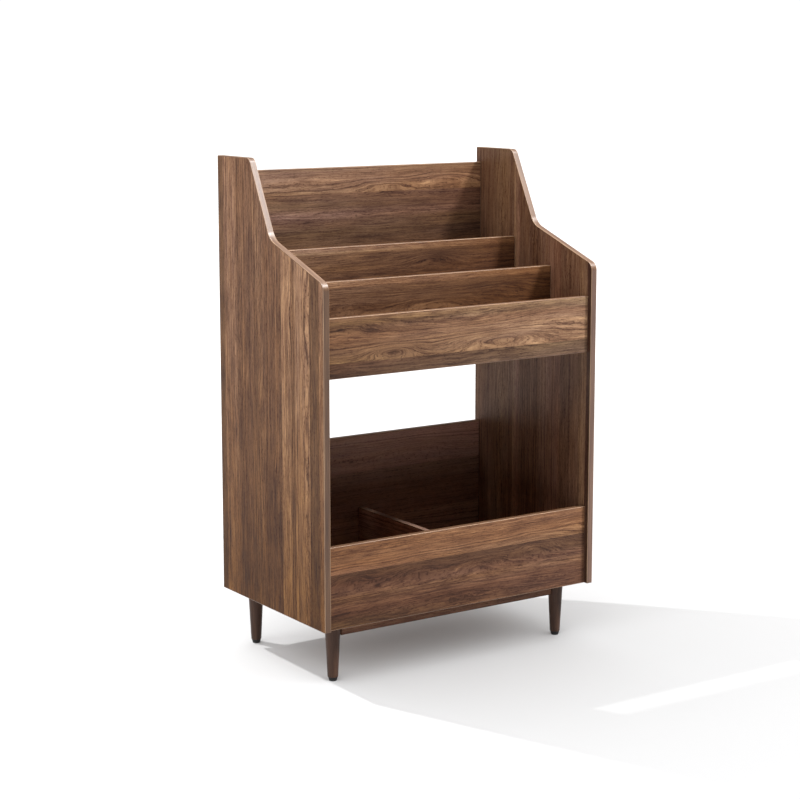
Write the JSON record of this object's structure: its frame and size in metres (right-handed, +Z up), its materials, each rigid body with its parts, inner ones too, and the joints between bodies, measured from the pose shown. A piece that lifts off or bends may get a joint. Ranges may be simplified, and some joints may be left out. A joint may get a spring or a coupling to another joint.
{
  "type": "magazine rack",
  "caption": "Free-standing walnut-veneer magazine rack with stepped slots on top, an open middle and a divided bin below, on turned legs.",
  "frame": {"origin": "on the floor, at the middle of the rack's footprint", "axes": "+Z up, +Y towards the rack's back, +X to the right of somebody facing its front"},
  "size_m": [0.73, 0.445, 1.123],
  "materials": {
    "walnut_side": "satin walnut laminate with upright grain, lighter banded edges",
    "walnut_board": "satin walnut laminate with grain along the board, lighter banded top edge",
    "walnut_inner": "satin walnut laminate",
    "walnut_leg": "satin lacquered solid wood",
    "black_plastic": "matt moulded",
    "zinc_steel": "zinc plated",
    "cast_zinc": "die-cast, dull",
    "beech_dowel": "raw, fluted"
  },
  "bodies": {
    "root": {"bin_divider": "walnut_inner", "bottom_panel": "walnut_inner", "cam_bolt_bottom_back_left": "zinc_steel", "cam_bolt_bottom_back_right": "zinc_steel", "cam_bolt_bottom_front_left": "zinc_steel", "cam_bolt_bottom_front_right": "zinc_steel", "cam_bolt_shelf_back_left": "zinc_steel", "cam_bolt_shelf_back_right": "zinc_steel", "cam_bolt_shelf_front_left": "zinc_steel", "cam_bolt_shelf_front_right": "zinc_steel", "cam_lock_bottom_back_left": "cast_zinc", "cam_lock_bottom_back_right": "cast_zinc", "cam_lock_bottom_front_left": "cast_zinc", "cam_lock_bottom_front_right": "cast_zinc", "cam_lock_shelf_back_left": "cast_zinc", "cam_lock_shelf_back_right": "cast_zinc", "cam_lock_shelf_front_left": "cast_zinc", "cam_lock_shelf_front_right": "cast_zinc", "cross_rail_front": "walnut_leg", "cross_rail_rear": "walnut_leg", "dowel_bin_divider_back": "beech_dowel", "dowel_bin_divider_front": "beech_dowel", "dowel_divider_front_left": "beech_dowel", "dowel_divider_front_right": "beech_dowel", "dowel_divider_rear_left": "beech_dowel", "dowel_divider_rear_right": "beech_dowel", "dowel_lower_back_left": "beech_dowel", "dowel_lower_back_right": "beech_dowel", "dowel_lower_front_left": "beech_dowel", "dowel_lower_front_right": "beech_dowel", "dowel_upper_back_left": "beech_dowel", "dowel_upper_back_right": "beech_dowel", "dowel_upper_front_left": "beech_dowel", "dowel_upper_front_right": "beech_dowel", "glide_back_left": "black_plastic", "glide_back_right": "black_plastic", "glide_front_left": "black_plastic", "glide_front_right": "black_plastic", "hanger_bolt_back_left": "zinc_steel", "hanger_bolt_back_right": "zinc_steel", "hanger_bolt_front_left": "zinc_steel", "hanger_bolt_front_right": "zinc_steel", "leg_back_left": "walnut_leg", "leg_back_right": "walnut_leg", "leg_front_left": "walnut_leg", "leg_front_right": "walnut_leg", "leg_plate_back_left": "zinc_steel", "leg_plate_back_right": "zinc_steel", "leg_plate_front_left": "zinc_steel", "leg_plate_front_right": "zinc_steel", "lower_back_board": "walnut_board", "lower_front_board": "walnut_board", "side_panel_left": "walnut_side", "side_panel_right": "walnut_side", "tier_divider_front": "walnut_board", "tier_divider_rear": "walnut_board", "tier_shelf": "walnut_inner", "upper_back_board": "walnut_board", "upper_front_board": "walnut_board"}
  },
  "joints": []
}
